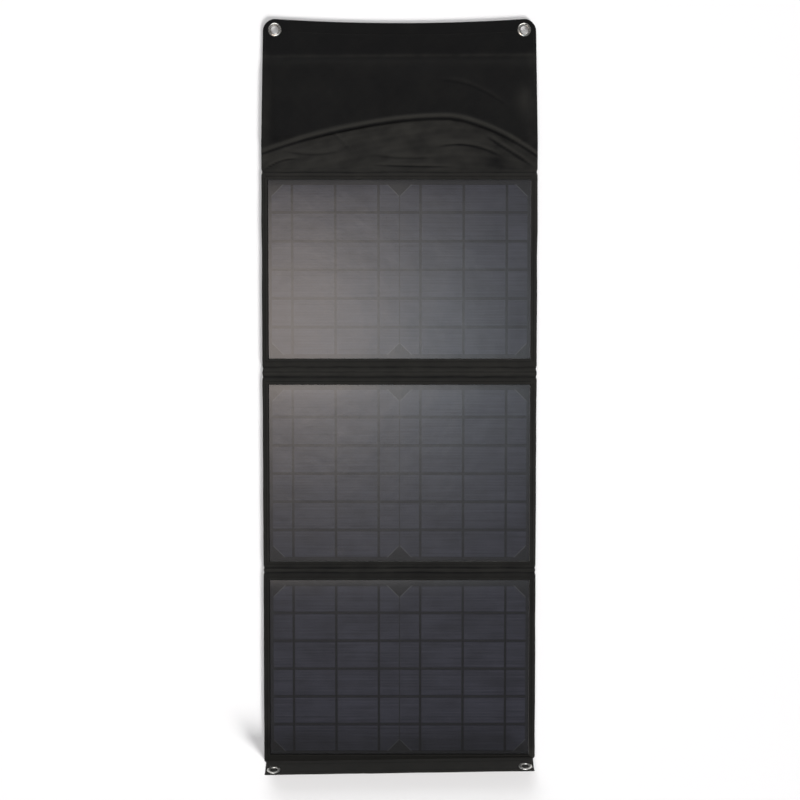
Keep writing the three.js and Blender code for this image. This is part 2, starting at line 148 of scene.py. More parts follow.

# Places along the strip and the fabric's height there.
FRONT_PROFILE = [
    (POCKET_START, 3.6), (244, 3.4), (236, 3.3), (229, 3.25), (225.5, 3.35),
    (222.6, 3.8), (220.8, 3.35), (219.2, 3.85), (217, PANEL_FACE),
    (34.6, PANEL_FACE), (31.2, 3.3), (28.1, 2.45), (26.6, 2.8), (23.8, 2.85), (21.2, 2.75), (19.8, 2.45),
    (18.2, 3.45), (16.6, PANEL_FACE), (-166.9, PANEL_FACE), (-168.6, 3.35), (-169.9, 2.5), (-171.2, 2.95),
    (-172.3, 3.05), (-173.3, 2.95), (-174.6, 2.5), (-176.4, 3.2), (-178.2, PANEL_FACE), (-359, PANEL_FACE),
]
BACK_PROFILE = [
    (POCKET_START, 0.05), (250, 0.2), (247.5, 0.6), (229, 0.6), (226.4, 0.3), (224, 0.0),
    (34.5, 0.0), (31.6, 0.5), (30, 0.65), (23.5, 0.65), (22, 0.5), (19, 0.0),
    (-167.5, 0.0), (-169.5, 0.5), (-171, 0.65), (-174.8, 0.65), (-176.3, 0.5), (-178, 0.0), (-359, 0.0),
]

# Furrows where the folds bend: place, reach of the crumpled cloth, width of the notch in its edge.
FURROWS = [(28.1, 6, 2.2), (20, 5, 1.8), (-169.9, 4, 1.4), (-174.6, 4, 1.6)]
ARCH_PEAK = (45, 272.5)


def arch_line(x):
    """Where the slack pocket fabric buckles: an uneven arch with its peak right of the middle."""
    left = 33 * np.clip((ARCH_PEAK[0] - x) / 177, 0, 2) ** 1.9
    right = 31 * np.clip((x - ARCH_PEAK[0]) / 82, 0, 2) ** 1.7
    return ARCH_PEAK[1] - left - right


# Lesser creases of the slack fabric: three points each, then depth and width.
CREASES = [
    ((-135, 220.5), (-116, 231.5), (-97, 233), 0.6, 1.9),
    ((82, 257), (108, 241), (134, 224), 0.75, 2.6),
    ((-34, 228), (12, 226.4), (62, 226), 0.5, 1.8),
    ((30, 243), (69, 246.5), (106, 232), 0.6, 2.2),
    ((-120, 243), (-84, 238), (-50, 243), 0.3, 2.4),
    ((-30, 238), (4, 234.5), (40, 236), 0.35, 2.4),
    ((34, 308), (74, 302), (110, 280), 0.2, 2.2),
    ((-70, 262), (-50, 243), (-44, 236), 0.2, 3.0),
]

# Painted shade and painted highlight of the hinges' creases: place, width and how much paler.
CREASE_SHADES = [
    (29.6, 0.9, -0.4), (26.3, 1.2, 0.25), (24.8, 0.7, -0.3), (23.4, 1.0, 0.25), (20.2, 1.0, -0.45),
    (-169.9, 0.9, -0.4), (-171.4, 0.8, 0.25), (-173.2, 0.9, 0.2), (-174.7, 0.8, -0.45),
    (220.3, 0.9, -0.4), (218.9, 0.7, 0.2),
]


def crease_relief(x, y):
    """Ridge-and-furrow height of the lesser creases."""
    relief = np.zeros(np.broadcast(x, y).shape)
    for first, middle, last, depth, width in CREASES:
        course = np.polyfit(*np.transpose([first, middle, last]), 2)
        off = y - np.polyval(course, x)
        reach = last[0] - first[0]
        fade = ramp(first[0], first[0] + 0.3 * reach, x) * ramp(last[0], last[0] - 0.3 * reach, x)
        relief += depth * fade * (bump(off - 1.1 * width, width) - 0.9 * bump(off, 0.6 * width))
    return relief


def wrinkles(x, y):
    """Long shallow wrinkles that run with the arch, below it."""
    below = ramp(-2, -7, y - arch_line(x))
    across = y * 2.3 + (ARCH_PEAK[1] - arch_line(x)) * 1.3
    return 0.42 * below * waves(x * 0.5, across, 60, 21)


def arch_fold(x, y):
    """The arch's own relief: a round ridge above a sharp furrow, uneven along its length."""
    off = y - arch_line(x)
    spread = np.exp(-(((x - 20) / 85) ** 2))
    ridge = 1.45 + 0.55 * spread + 0.3 * waves(x, 0 * y, 56, 48)
    ridge = ridge * bump(off - 2.2 - 1.2 * spread, 1.4 + 0.5 * spread)
    furrow = (1.45 + 0.3 * waves(x, 0 * y, 57, 37)) * bump(off + 0.8, 0.95)
    return (ridge - furrow) * ramp(134.5, 128, np.abs(x))


def crease_painted_shade(x, y):
    """Painted shade in the hinges' creases and painted highlight on the ridges between them, wavering along x.
    """
    shade = np.zeros(np.broadcast(x, y).shape)
    for index, (place, width, amount) in enumerate(CREASE_SHADES):
        waver = 0.45 * waves(x, 0 * y, 90 + index, 31)
        strength = amount * (1 + 0.4 * waves(x, 0 * y, 110 + index, 44))
        shade += strength * bump(y - place - waver, width)
    return shade


def tone(x, y):
    """How pale the cloth looks, from 0 to 1, with painted light and shade in it: a painted highlight below the
    arch, on ridges and along the seam, painted shade in furrows and creases, paler at the pocket's sides, and
    painted light over the hem where its shadow falls.
    """
    mottle = waves(x, y, 58, 33) * 0.5 + waves(x, y, 59, 11) * 0.3
    off = y - arch_line(x)
    # Painted light: the cloth below the arch is paler, where its slope faces the lamp.
    painted_lit_slope = ramp(1.5, -2.5, off) * (0.62 + 0.24 * mottle - 0.3 * ramp(30, 110, x))
    creased = crease_relief(x, y)
    # Along the seam: a little paler below it, darker above it, and a pale line on it that is a painted
    # highlight.
    seam = 0.12 * bump(y - SEAM_Y + 6, 4.5) - 0.08 * ramp(SEAM_Y - 1, SEAM_Y + 2, y)
    seam = seam + (0.3 + 0.2 * mottle) * bump(y - SEAM_Y + 0.4 - 0.008 * x, 1.5)
    spot = 0.45 * bump(x - 121, 8) * bump(y - 291, 13)
    edge = 0.3 * ramp(14, 4, STRIP_HALF - np.abs(x)) * (0.6 + 0.5 * mottle) * ramp(345, 330, y)
    # Painted highlight on the arch's ridge, the wrinkles' crests and the creases' ridges; painted shade in the
    # arch's furrow and in the creases.
    pocket_tone = (
        0.10 + 0.06 * mottle + painted_lit_slope + 0.55 * wrinkles(x, y)
        + 1.35 * bump(off - 3.0, 1.9) - 0.7 * bump(off + 0.5, 1.2)
        + 0.7 * np.maximum(creased, 0) + 1.9 * np.minimum(creased, 0) + seam + spot + edge
    )
    strip_tone = 0.44 + 0.22 * ramp(-168, -160, y) + 0.16 * mottle + crease_painted_shade(x, y)
    # Painted light: paler from the foot of panel 3 down over the hem, most at the hem's bend, where the hem's
    # shadow falls.
    strip_tone = strip_tone + 0.45 * ramp(-350, -354, y) + 0.3 * bump(y + 361.5, 3)
    return np.clip(toward(strip_tone, pocket_tone, ramp(221, 224, y)), 0, 1)


def window_gap(x, y):
    """Distance to the nearest window's edge, from outside it."""
    nearest = np.full(np.broadcast(x, y).shape, 99.0)
    for low, high in WINDOWS.values():
        nearest = np.minimum(nearest, np.hypot(outside(x, -WINDOW_HALF, WINDOW_HALF), outside(y, low, high)))
    return nearest


def front_height(x, y):
    """Height of the strip's front fabric below the pocket."""
    slack = ramp(217.5, 222, y) * ramp(POCKET_START + 6, POCKET_START - 1, y)
    loose = crease_relief(x, y) + 0.16 * waves(x * 0.5, y * 1.6, 3, 16) + 0.1 * waves(x, y * 1.4, 5, 7)
    height = soft_profile(FRONT_PROFILE, y) + slack * (loose + 0.45 * arch_fold(x, y))
    soft = 0.05 * waves(x, y, 11, 34) + 0.03 * waves(x, y, 12, 12) - 0.32 * bump(window_gap(x, y), 1.7)
    crumple = sum(bump(y - place, reach) for place, reach, _ in FURROWS)
    height = height + soft + 0.09 * crumple * waves(x, y * 2.2, 14, 13)
    return np.clip(height, 2.42, 4.05)


def back_height(x, y):
    """Height of the strip's back fabric."""
    soft = 0.05 + 0.05 * waves(x, y, 21, 40)
    return np.maximum(soft_profile(BACK_PROFILE, y) + soft * 0.6, 0.0)


def half_width(y):
    """Half the strip's width: a notch at each crease and a slightly uneven edge."""
    notch = 0.7 * sum(bump(y - place, width) for place, _, width in FURROWS) + 0.8 * bump(y - 220.8, 2.0)
    return STRIP_HALF - INSET - notch + 0.22 * waves(0 * y, y, 31, 60)


# ---- Mesh making ----


def new_object(name, points_mm, faces, material, smooth=True):
    """A mesh object from points in millimetres."""
    mesh = bpy.data.meshes.new(name)
    mesh.from_pydata((np.asarray(points_mm, float) * MM).tolist(), [], [list(f) for f in faces])
    mesh.polygons.foreach_set("use_smooth", [smooth] * len(mesh.polygons))
    mesh.update()
    obj = bpy.data.objects.new(name, mesh)
    bpy.context.scene.collection.objects.link(obj)
    mesh.materials.append(material)
    return obj


def set_cloth(obj, cloth_mm):
    """Keeps each point's place on the flat fabric, for a weave that stays put as it bends, and its tone, which
    carries painted light and shade.
    """
    layer = obj.data.attributes.new("cloth", "FLOAT_VECTOR", "POINT")
    values = np.zeros((len(obj.data.vertices), 3), np.float32)
    values[:, :2] = cloth_mm * MM
    values[:, 2] = tone(cloth_mm[:, 0], cloth_mm[:, 1]) * MM
    layer.data.foreach_set("vector", values.ravel())


def stations():
    """Places along the strip, from the pocket down, closer together at the folds and window edges."""
    spans = [
        (POCKET_START, 217.6, 0.55), (217.6, 36.6, 2.9), (36.6, 15.5, 0.45), (15.5, -165.8, 2.9),
        (-165.8, -179.6, 0.4), (-179.6, -357.4, 2.9), (-357.4, HEM_START_Y, 0.6),
    ]
    places = []
    for high, low, step in spans:
        places += list(np.linspace(high, low, max(2, round((high - low) / step) + 1)))
    for low, high in WINDOWS.values():
        places = [p for p in places if min(abs(p - low), abs(p - high)) > 0.22]
        places += [low, high]
    return np.array(sorted({round(p, 4) for p in places + SPLITS}, reverse=True))


# Where the strip's fabric is parted into pieces, each for one body or one crease.
FOLDS = ("pocket", "12", "23")
MIDDLE = {name: (CREASE["fold_" + name] + CREASE[f"fold_{name}_outer"]) / 2 for name in FOLDS}
SPLITS = [MIDDLE["pocket"], 218.4, 35.4, MIDDLE["12"], 16.2, -166.4, MIDDLE["23"], -179.0, HEM_START_Y]
STRIP_PIECES = []
for panel, name in enumerate(FOLDS, 1):
    STRIP_PIECES += [f"fold_{name}_upper_fabric", f"fold_{name}_lower_fabric", f"panel_{panel}_cover_fabric"]
STRIP_PIECES.append("hem_fabric")


def hem_path():
    """The hem's course from the end of panel 3: level, up round the curl, then straight to the edge.

    Rows of place along the fabric, Y, Z, heading from level, half thickness, share of the skew.
    """
    sin, cos = math.sin(HEM_CURL), math.cos(HEM_CURL)
    start_y = HEM_AXIS["pos_m"][1] / MM - HEM_OFFSET * sin
    start_z = HEM_AXIS["pos_m"][2] / MM - HEM_OFFSET * cos
    panel_z, panel_half = 1.9, 1.85
    level_z, level_half, bend_radius = 1.8, 1.25, 1.6
    past_start = (level_z - start_z) / sin
    tangent = bend_radius * math.tan(HEM_CURL / 2)
    arc_y = start_y - past_start * cos + tangent
    level_run = HEM_START_Y - arc_y
    rows = []
    for share in (0.3, 0.65, 1.0):
        half = toward(panel_half, level_half, ramp(0, 1, share))
        run = share * level_run
        rows.append((run, HEM_START_Y - run, toward(panel_z, level_z, share), 0.0, half, share))
    for share in np.linspace(0, 1, 13)[1:]:
        heading = HEM_CURL * share
        y = arc_y - bend_radius * math.sin(heading)
        z = level_z + bend_radius * (1 - math.cos(heading))
        half = toward(level_half, HEM_HALF_THICK, share)
        rows.append((level_run + bend_radius * heading, y, z, heading, half, 1.0))
    run = level_run + bend_radius * HEM_CURL
    from_start = past_start + tangent
    rest = HEM_LENGTH - from_start
    for distance in [*np.linspace(1.0, rest - 0.9, 24), rest - 0.45, rest - 0.15, rest]:
        half = HEM_HALF_THICK * round_rim(rest - distance, 0.9)
        along = from_start + distance
        rows.append((run + distance, start_y - along * cos, start_z + along * sin, HEM_CURL, half, 1.0))
    return rows


# Places across the strip, the same at every station.
MARGIN = np.array([130.0, 131.0, 132.2, 133.2])
ACROSS = np.concatenate([-MARGIN[::-1], np.linspace(-WINDOW_HALF, WINDOW_HALF, 88), MARGIN])
EDGE_ROUND = 1.9  # the strip's edges are rounded over this width
EDGE_TURN = np.linspace(math.pi / 2, -math.pi / 2, 9)[1:-1]
HEM_EDGE_HALF = 133.3


def section(x, front, back, half):
    """A closed outline across the strip as x and height: front, right edge, back and left edge."""
    edge = half - EDGE_ROUND + EDGE_ROUND * np.cos(EDGE_TURN)
    left, right = (
        (front[end] + back[end]) / 2 + (front[end] - back[end]) / 2 * np.sin(EDGE_TURN) for end in (0, -1)
    )
    place = np.concatenate([x, edge, x[::-1], -edge[::-1]])
    return place, np.concatenate([front, right, back[::-1], left[::-1]])


def flat_section(y):
    """The outline at one place along the flat strip, whose margins stretch out to its uneven edge."""
    half = half_width(y)
    share = (np.abs(ACROSS) - WINDOW_HALF) / (ACROSS[-1] - WINDOW_HALF)
    margin = np.sign(ACROSS) * (WINDOW_HALF + share * (half - EDGE_ROUND - WINDOW_HALF))
    x = np.where(np.abs(ACROSS) > WINDOW_HALF, margin, ACROSS)
    return section(x, front_height(x, y), back_height(x, y), half)


def hem_ripple(x, run):
    return 0.12 * waves(x, run * 1.5, 41, 42)


def hem_section(run, thick, bend):
    """The outline of the hem, which narrows a little as it bends up."""
    half = toward(half_width(HEM_START_Y), HEM_EDGE_HALF + 0.2 * math.sin(run / 5), bend)
    x = ACROSS / ACROSS[-1] * (half - EDGE_ROUND)
    ripple = hem_ripple(x, run) * bend
    return section(x, ripple + thick, ripple - thick, half)


def strip_faces(places, rings, count):
    """Quads of the strip's grid but for the windows, each with the number of the piece that owns it."""
    middle_y = (places[:-1] + places[1:]) / 2
    open_rows = [any(low < y < high for low, high in WINDOWS.values()) for y in middle_y]
    open_columns = np.flatnonzero(np.abs(ACROSS[:-1] + ACROSS[1:]) / 2 < WINDOW_HALF)
    faces, owner = [], []
    for row in range(rings - 1):
        flat = row < len(middle_y)
        piece = sum(split > middle_y[row] for split in SPLITS) if flat else len(SPLITS)
        opened = set(open_columns) if flat and open_rows[row] else ()
        for column in range(count):
            if column in opened:
                continue
            a, b = row * count + column, row * count + (column + 1) % count
            faces.append((a, a + count, b + count, b))
            owner.append(piece)
    tip = (rings - 1) * count
    tip_back = tip + 2 * len(ACROSS) + len(EDGE_TURN) - 1
    for column in range(len(ACROSS) - 1):
        faces.append((tip + column, tip_back - column, tip_back - column - 1, tip + column + 1))
        owner.append(len(SPLITS))
    return np.array(faces), np.array(owner)


def build_strip(material):
    """The strip's fabric from the pocket's foot to the hem's edge, as one grid cut into pieces."""
    places = stations()
    rings, cloths = [], []
    for y in places:
        x, height = flat_section(y)
        rings.append(np.column_stack([x, np.full_like(x, y), height]))
        cloths.append(rings[-1][:, :2])
    for run, y, z, heading, thick, skewed in hem_path():
        x, height = hem_section(run, thick, heading / HEM_CURL)
        leant_y = y + math.sin(heading) * height + x * math.tan(HEM_SKEW) * skewed
        rings.append(np.column_stack([x, leant_y, z + math.cos(heading) * height]))
        cloths.append(np.column_stack([x, np.full_like(x, places[-1] - run)]))
    points, cloth, count = np.vstack(rings), np.vstack(cloths), len(rings[0])
    faces, owner = strip_faces(places, len(rings), count)
    normals = vertex_normals(points, faces)
    made = {}
    for index, name in enumerate(STRIP_PIECES):
        chosen = faces[owner == index]
        used, local = np.unique(chosen, return_inverse=True)
        piece_faces = local.reshape(chosen.shape).tolist()
        held = [points[used], cloth[used], normals[used]]
        if name.startswith("panel_"):
            lip_points, lip_normals, lip_faces = window_lip(int(name[6]), points, used, places, count)
            piece_faces += [[len(used) + i if i >= 0 else -i - 1 for i in face] for face in lip_faces]
            held = [np.vstack(pair) for pair in zip(held, (lip_points, lip_points[:, :2], lip_normals))]
        made[name] = new_object(name, held[0], piece_faces, material)
        set_cloth(made[name], held[1])
        made[name].data.normals_split_custom_set_from_vertices(held[2].tolist())
    return made


def vertex_normals(points, faces):
    """Area-weighted normals of a quad grid."""
    corners = points[faces]
    face_normals = np.cross(corners[:, 2] - corners[:, 0], corners[:, 3] - corners[:, 1])
    normals = np.zeros_like(points)
    for corner in range(4):
        np.add.at(normals, faces[:, corner], face_normals)
    length = np.linalg.norm(normals, axis=1)
    return normals / np.maximum(length, 1e-9)[:, None]


# How the turned edge rolls in: reach from the edge, drop below the face and upward share of the normal.
LIP_STEPS = [(0.3, 0.08, 1.2), (0.55, 0.22, 0.5), (0.7, None, 0.1)]


def window_lip(number, points, used, places, count):
    """The fabric's turned edge round a window, rolled down on to the film: points, normals and faces.

    Faces hold new points as 0 and up, and the cover's own points as minus one minus their place.
    """
    low, high = WINDOWS[number]
    rows = [r for r, y in enumerate(places) if low - 0.01 <= y <= high + 0.01]
    columns = [c for c, x in enumerate(ACROSS) if abs(x) <= WINDOW_HALF + 0.01]
    loop = [(rows[0], c) for c in columns] + [(r, columns[-1]) for r in rows[1:]]
    loop += [(rows[-1], c) for c in columns[-2::-1]] + [(r, columns[0]) for r in rows[-2:0:-1]]
    loop = [row * count + column for row, column in loop]
    at = {vertex: place for place, vertex in enumerate(used.tolist())}
    new_points, normals, faces = [], [], []
    for index, vertex in enumerate(loop):
        x, y, z = points[vertex]
        inward_x = -np.sign(x) if abs(abs(x) - WINDOW_HALF) < 0.01 else 0.0
        inward_y = np.sign((low + high) / 2 - y) if min(abs(y - low), abs(y - high)) < 0.01 else 0.0
        for reach, drop, rise in LIP_STEPS:
            level = FILM_TOP + 0.03 if drop is None else z - drop
            new_points.append((x + inward_x * reach, y + inward_y * reach, level))
            normals.append(Vector((inward_x, inward_y, rise)).normalized())
        after = (index + 1) % len(loop)
        rings = [(-at[vertex] - 1, -at[loop[after]] - 1)] + [(index * 3 + k, after * 3 + k) for k in range(3)]
        for (a, b), (c, d) in zip(rings, rings[1:]):
            faces.append((a, b, d, c))
    return np.array(new_points), np.array(normals), faces


# ---- Pocket ----

BAND = 2.5
PILLOW = 6.6
SEAM_Y = 334
CORNER = 12
TOP_DIP = 3.9
UPPER_HALF = 133.4
FRONT_PLY = 0.6
OVER_SLIDER = 6.1
TOPSTITCH = 11.7  # from the pocket's top edge
SIDE_SEAMS = (-122.5, 116.5)
HUB_LOW, HUB_HIGH = box_mm("hub_shell_upper")
SLIDER = sum(box_mm("zip_slider_inner")) / 2
ZIP_TRAVEL = JOINTS["zip_travel"]
SLIDER_ENDS = sorted(SLIDER[0] + ZIP_TRAVEL["axis"][0] * far / MM for far in ZIP_TRAVEL["range_m"])
EYELETS_TOP = [sum(box_mm(f"eyelet_top_{side}")) / 2 for side in ("left", "right")]


def pocket_half(y):
    """Half width of the pocket: a slight taper and a round corner at the top."""
    taper = (y - POCKET_START) / (POCKET_TOP - CORNER - POCKET_START)
    half = STRIP_HALF - INSET - (STRIP_HALF - UPPER_HALF) * min(max(taper, 0), 1)
    above = y - (POCKET_TOP - CORNER)
    if above > 0:
        half -= CORNER - math.sqrt(max(CORNER**2 - above**2, 0))
    return half


def top_dip(x):
    return TOP_DIP * np.clip(1 - (x / (UPPER_HALF - CORNER)) ** 2, 0, 1)


def pocket_height(x, y):
    """Height of the pocket's front fabric, slack over the hub and buckled along an arch."""
    side = ramp(2.5, 17, STRIP_HALF - np.abs(x))
    to_seam = 1 - 0.28 * np.clip((y - 296) / 27, 0, 1) - 0.72 * np.clip((y - 323) / 10, 0, 1) ** 1.3
    low = PANEL_FACE + (1.7 + 0.3 * waves(x, y, 51, 55)) * np.clip((y - 251) / 22, 0, 1) * side
    low = toward(low, BAND, ramp(SEAM_Y - 26, SEAM_Y, y))
    full = np.maximum(toward(BAND, PILLOW, side * to_seam), low)
    height = toward(low, full, ramp(-1.5, 5.5, y - arch_line(x)))
    from_slider = np.hypot(outside(x, *SLIDER_ENDS) * 0.9, y - SLIDER[1])
    height = toward(height, np.maximum(height, OVER_SLIDER), ramp(15, 4.5, from_slider))
    height = toward(height, BAND, ramp(SEAM_Y - 5, SEAM_Y + 1, y))
    from_hub = np.hypot(outside(x, HUB_LOW[0], HUB_HIGH[0]), outside(y, HUB_LOW[1], HUB_HIGH[1]))
    height = toward(height, HUB_HIGH[2] + 0.55, ramp(22, 0.5, from_hub)) + arch_fold(x, y)
    loose = 1.5 * crease_relief(x, y) + 0.14 * waves(x, y * 1.3, 52, 26) + 0.06 * waves(x, y, 53, 9)
    height = height + side * ramp(SEAM_Y + 1, SEAM_Y - 12, y) * (loose + wrinkles(x, y))
    puckers = 0.13 * waves(x, y * 0.15, 54, 9) * (bump(y - SEAM_Y + 3.5, 3.5) + bump(y - SEAM_Y - 3.5, 3))
    height = height + 0.3 * bump(y - SEAM_Y, 2.2) + puckers
    for seam_x in SIDE_SEAMS:
        seam = bump(x - seam_x - 0.02 * (y - SEAM_Y), 0.8) * ramp(SEAM_Y + 1, SEAM_Y + 4, y)
        height = height - 0.22 * seam
    from_stitch = y - (POCKET_TOP - top_dip(x) - TOPSTITCH)
    height = height - 0.28 * bump(from_stitch, 0.9) * (np.abs(x) < 124) + 0.03 * waves(x, y, 55, 14)
    held = front_height(x, np.minimum(y, POCKET_START))
    return toward(held, height, ramp(POCKET_START, POCKET_START + 6, y))


def strip_height(x, y):
    return np.where(y <= POCKET_START, front_height(x, y), pocket_height(x, y))


def slope_normals(height, x, y):
    """Normals of a height field, for joins that must not show."""
    step = 0.2
    along_x = (height(x + step, y) - height(x - step, y)) / (2 * step)
    along_y = (height(x, y + step) - height(x, y - step)) / (2 * step)
    normals = np.column_stack([-along_x, -along_y, np.ones_like(along_x)])
    return normals / np.linalg.norm(normals, axis=1)[:, None]


def eased(low, high, count, ease):
    """Places from low to high, crowded towards both ends."""
    share = np.linspace(-1, 1, count)
    share = (1 - ease) * share + ease * np.sin(share * math.pi / 2)
    return low + (high - low) * (share + 1) / 2


def double_sheet(name, x, y, top, bottom, material, keep=None):
    """Closes two height grids, one over the other, into one fabric piece, open where keep is false."""
    rows, columns = x.shape
    count = rows * columns
    points = np.vstack([np.dstack([x, y, height]).reshape(-1, 3) for height in (top, bottom)])
    faces = []
    for row in range(rows - 1):
        for column in range(columns - 1):
            if keep is None or keep[row, column]:
                a = row * columns + column
                quad = (a, a + 1, a + columns + 1, a + columns)
                faces += [quad, tuple(count + i for i in reversed(quad))]
    at = np.arange(count).reshape(rows, columns)
    rim = [*at[0], *at[1:, -1], *at[-1, -2::-1], *at[-2:0:-1, 0]]
    faces += [(b, a, count + a, count + b) for a, b in zip(rim, rim[1:] + rim[:1])]
    obj = new_object(name, points, faces, material)
    set_cloth(obj, points[:, :2])
    return obj


def build_pocket_front(material):
    """The pocket's front fabric, sewn to its back round the sides and top and holed for two eyelets."""
    places = np.concatenate([
        np.linspace(POCKET_START, POCKET_TOP - CORNER, 122)[:-1],
        POCKET_TOP - CORNER * (1 - np.sin(np.linspace(0, math.pi / 2, 20))),
    ])
    across = eased(-1, 1, 262, 0.75)
    x = np.array([across * pocket_half(y) for y in places])
    y = np.repeat(places[:, None], len(across), 1)
    y = y - top_dip(x) * ramp(POCKET_TOP - 45, POCKET_TOP, y)
    from_side = (1 - np.abs(across)) * np.array([pocket_half(v) for v in places])[:, None]
    from_rim = np.minimum(from_side, POCKET_TOP - top_dip(x) - y)
    top = pocket_height(x, y)
    bordered = np.clip(ramp(128.5, 130.5, np.abs(x)) + ramp(SEAM_Y - 1.5, SEAM_Y + 0.5, y), 0, 1)
    bottom = np.maximum((top - FRONT_PLY) * (1 - bordered), 0) + 0.02
    rounding = toward(1, np.maximum(round_rim(from_rim, 1.1), 0.05), ramp(POCKET_START, POCKET_START + 1, y))
    middle, half_thick = (top + bottom) / 2, (top - bottom) / 2 * rounding
    centre_x, centre_y = ((grid[:-1, :-1] + grid[1:, 1:]) / 2 for grid in (x, y))
    keep = np.ones(centre_x.shape, bool)
    for eyelet in EYELETS_TOP:
        keep &= np.hypot(centre_x - eyelet[0], centre_y - eyelet[1]) > 5.2
    obj = double_sheet("pocket_front_fabric", x, y, middle + half_thick, middle - half_thick, material, keep)
    normals = np.array([v.normal[:] for v in obj.data.vertices])
    normals[:len(across)] = slope_normals(strip_height, x[0], y[0])
    obj.data.normals_split_custom_set_from_vertices(normals.tolist())
    return obj


def build_back_sheet(node, course, seed, material):
    """A back fabric of the pocket that follows a course of (y, z) points, slightly slack."""
    half, course = box_mm(node)[1][0] - INSET, np.array(course, float)
    run = np.concatenate([[0], np.cumsum(np.hypot(*np.diff(course, axis=0).T))])
    along = np.linspace(0, run[-1], max(14, round(run[-1] / 1.1)))
    y, z = (np.interp(along, run, course[:, k]) for k in (0, 1))
    z = np.convolve(np.pad(z, 2, mode="edge"), np.array([1, 2, 3, 2, 1]) / 9, mode="valid")
    x, y = np.meshgrid(eased(-half, half, 150, 0.4), y)
    from_side, from_end = half - np.abs(x), np.minimum(y - y.min(), y.max() - y)
    lift = 0.16 * (1 + waves(x, y * 1.5, seed, 34)) * ramp(0, 8, from_side) * ramp(0, 4, from_end)
    middle = z[:, None] + lift + np.maximum(0.02 * waves(x, y, seed + 1, 8), 0) + 0.29
    thin = 0.28 * round_rim(np.minimum(from_side, from_end), 0.5) + 0.01
    return double_sheet(node + "_fabric", x, y, middle + thin, np.maximum(middle - thin, 0.0), material)


# ---- Zip ----


def build_tape(node, material):
    """A zip tape: a thin ribbed strip with rounded edges."""
    low, high = box_mm(node)
    x, y = (eased(low[k] + 0.02, high[k] - 0.02, *steps) for k, steps in ((0, (200, 0.1)), (1, (22, 0.5))))
    x, y = np.meshgrid(x, y)
    rim = np.minimum(np.minimum(x - x.min(), x.max() - x), np.minimum(y - y.min(), y.max() - y))
    thin = (high[2] - low[2]) / 2 * (0.55 + 0.35 * round_rim(rim, 0.4)) - 0.02
    middle = (low[2] + high[2]) / 2 + 0.02 * np.cos(y * 2 * math.pi / 1.1)
    return double_sheet(node + "_weave", x, y, middle + thin, middle - thin, material)


def ring_faces(rings, sides, closed=False):
    """Quads between rings of points; closed also joins the last ring to the first."""
    faces = []
    for ring in range(rings if closed else rings - 1):
        base, over = ring * sides, (ring + 1) % rings * sides
        for k in range(sides):
            after = (k + 1) % sides
            faces.append((base + k, base + after, over + after, over + k))
    return faces


def tube(path, radius, sides):
    """Points and quads of a round wire along a path."""
    path = np.asarray(path, float)
    heading = np.gradient(path, axis=0)
    heading /= np.linalg.norm(heading, axis=1)[:, None]
    side = np.cross(heading, [0.0, 0.0, 1.0])
    weak = np.linalg.norm(side, axis=1) < 0.1
    side[weak] = np.cross(heading[weak], [1.0, 0.0, 0.0])
    side /= np.linalg.norm(side, axis=1)[:, None]
    up = np.cross(side, heading)
    turn = np.linspace(0, 2 * math.pi, sides, endpoint=False)
    ring = side[:, None] * np.cos(turn)[:, None] + up[:, None] * np.sin(turn)[:, None]
    return (path[:, None] + radius * ring).reshape(-1, 3), ring_faces(len(path), sides)


def merge(parts):
    """Several (points, faces) sets as one."""
    points, faces, base = [], [], 0
    for part_points, part_faces in parts:
        points.append(part_points)
        faces += [tuple(base + i for i in face) for face in part_faces]
        base += len(part_points)
    return np.vstack(points), faces


def build_coil(material):
    """Both meshed halves of the zip's coil: two flattened spirals a half pitch apart."""
    low, high = box_mm("zip_coil")
    pitch, wire = 1.5, 0.27
    centre, reach = (low + high) / 2, (high - low) / 2
    reach_y = reach[1] / 2 + 0.16
    turns = (high[0] - low[0] - 1.2) / pitch
    angle = np.linspace(0, turns * 2 * math.pi, round(turns * 14))
    parts = []
    for side, phase in ((-1, 0.0), (1, 0.5)):
        turn = angle + phase * 2 * math.pi
        parts.append(tube(np.column_stack([
            low[0] + 0.6 + (angle / (2 * math.pi) + phase) * pitch * 0.995,
            centre[1] + side * (reach_y * 0.86 + (reach_y - wire) * np.cos(turn)),
            centre[2] + (reach[2] - wire) * np.sin(turn),
        ]), wire, 6))
    points, faces = merge(parts)
    points[:, 0] = np.clip(points[:, 0], low[0], high[0])
    return new_object("zip_coil_wires", points, faces, material)


# ---- Eyelets and stitches ----


def lathe(profile, centre, tilt, skew, segments=72):
    """Turns (radius, height) points round an axis tilted about X and turned about Z, its middle at centre."""
    turn = np.linspace(0, 2 * math.pi, segments, endpoint=False)
    radius, height = np.array(profile, float).T[:, :, None]
    height = height - (height.min() + height.max()) / 2
    ring = np.dstack([radius * np.cos(turn), radius * np.sin(turn), height + 0 * turn]).reshape(-1, 3)
    turned = Matrix.Rotation(skew, 3, "Z") @ Matrix.Rotation(tilt, 3, "X")
    return ring @ np.array(turned).T + centre, ring_faces(len(profile), segments, closed=True)


# Round the metal's section as (radius, height) points.
EYELET_PROFILE = [
    (3.78, 0.35), (3.78, 2.35), (3.86, 2.72), (4.1, 2.95), (4.5, 3.03), (5.2, 3.0), (5.9, 2.88), (6.45, 2.68),
    (6.76, 2.48), (6.79, 2.42), (6.4, 2.42), (5.4, 2.5), (4.3, 2.5), (4.08, 2.3), (4.08, 0.35),
]
WASHER_PROFILE = [
    (3.82, 0.06), (4.1, 0.0), (5.0, 0.02), (6.3, 0.05), (6.58, 0.14), (6.58, 0.4), (6.4, 0.48), (4.4, 0.48),
    (4.15, 0.42), (4.12, 0.35), (3.82, 0.35),
]


